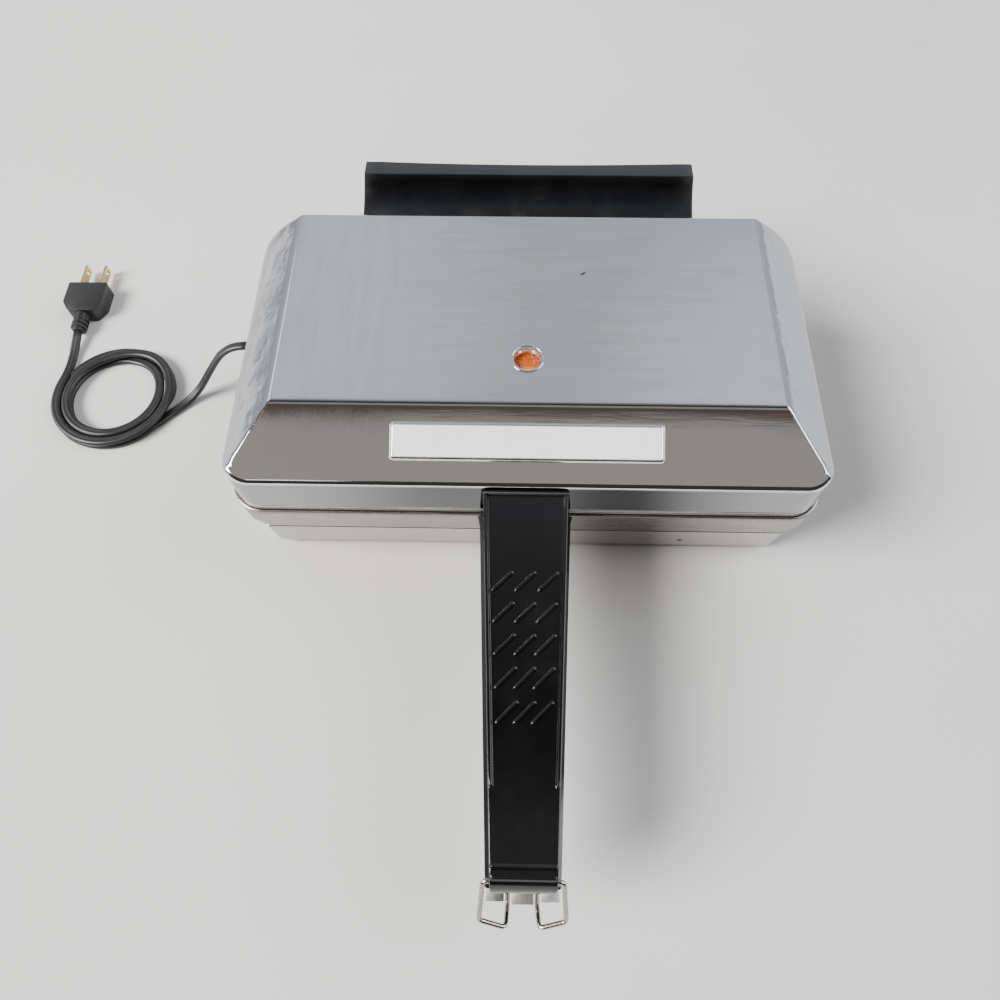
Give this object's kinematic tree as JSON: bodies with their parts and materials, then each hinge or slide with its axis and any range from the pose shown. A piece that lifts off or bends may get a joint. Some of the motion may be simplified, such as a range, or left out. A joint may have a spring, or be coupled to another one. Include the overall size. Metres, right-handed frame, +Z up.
{
  "type": "electric pizzelle waffle maker",
  "caption": "Electric countertop waffle iron for thin pizzelle discs, in chromed covers, with long paired handles, wire latch, rear rest, indicator lamp and flat cord.",
  "frame": {"origin": "on the table, under the middle of the length from the tip of the latch to the rear rest, midway between the sides", "axes": "+Z up, +Y from the handles towards the hinge, +X to the right seen from the handles"},
  "size_m": [0.4414, 0.3808, 0.1019],
  "materials": {
    "chrome_cover": "pressed steel, bright chrome plate with fine wiping marks",
    "bright_trim": "bright chrome plate",
    "wire": "nickel plated spring wire",
    "strike": "plated steel strip",
    "cast_plate": "cast aluminium, machined cooking faces",
    "element": "steel sheathed tube, heat darkened",
    "zinc": "zinc plated sheet steel",
    "pan": "bright aluminium sheet",
    "screw": "plated steel",
    "rubber": "moulded black rubber",
    "bakelite": "brown phenolic",
    "ceramic": "glazed ceramic",
    "handle": "glossy black phenolic moulding",
    "gasket": "thin black fibre and rubber",
    "cord": "black flexible PVC",
    "brass": "bare brass",
    "nameplate": "white enamelled plate with a bright border",
    "amber": "amber moulded lens",
    "lamp_glass": "neon glow lamp",
    "rest": "satin black phenolic moulding"
  },
  "bodies": {
    "base": {"lower_shell": "chrome_cover", "lower_grill_plate": "cast_plate", "lower_heating_element": "element", "lower_element_clamps": "zinc", "lower_reflector": "pan", "base_cover": "zinc", "base_cover_screws": "screw", "rubber_feet": "rubber", "thermostat": "bakelite", "terminal_block": "ceramic", "lower_handle": "handle", "lower_handle_gasket": "gasket", "lower_handle_bolts": "screw", "strike_plate": "strike", "strike_plate_screws": "screw", "lower_hinge_brackets": "zinc", "lower_hinge_screws": "screw", "hinge_pins": "screw", "strain_relief": "cord", "power_cord": "cord", "cord_coil": "cord", "plug_body": "cord", "plug_blades": "brass"},
    "lid": {"lid_shell": "chrome_cover", "upper_grill_plate": "cast_plate", "upper_heating_element": "element", "upper_element_clamps": "zinc", "upper_reflector": "pan", "nameplate": "nameplate", "lamp_bezel": "bright_trim", "lamp_lens": "amber", "neon_lamp": "lamp_glass", "upper_handle": "handle", "upper_handle_gasket": "gasket", "upper_handle_bolts": "screw", "rear_rest": "rest", "rest_screws": "screw", "upper_hinge_brackets": "zinc", "upper_hinge_screws": "screw"},
    "latch": {"latch_bail": "wire"}
  },
  "joints": [
    {"name": "lid_hinge", "type": "hinge", "parent": "base", "child": "lid", "pos_m": [0, 0.15805, 0.045], "axis": [-1, 0, 0], "range_deg": [0, 109]},
    {"name": "latch_pivot", "type": "hinge", "parent": "lid", "child": "latch", "pos_m": [0, -0.16895, 0.066], "axis": [-1, 0, 0], "range_deg": [0, 200]}
  ]
}
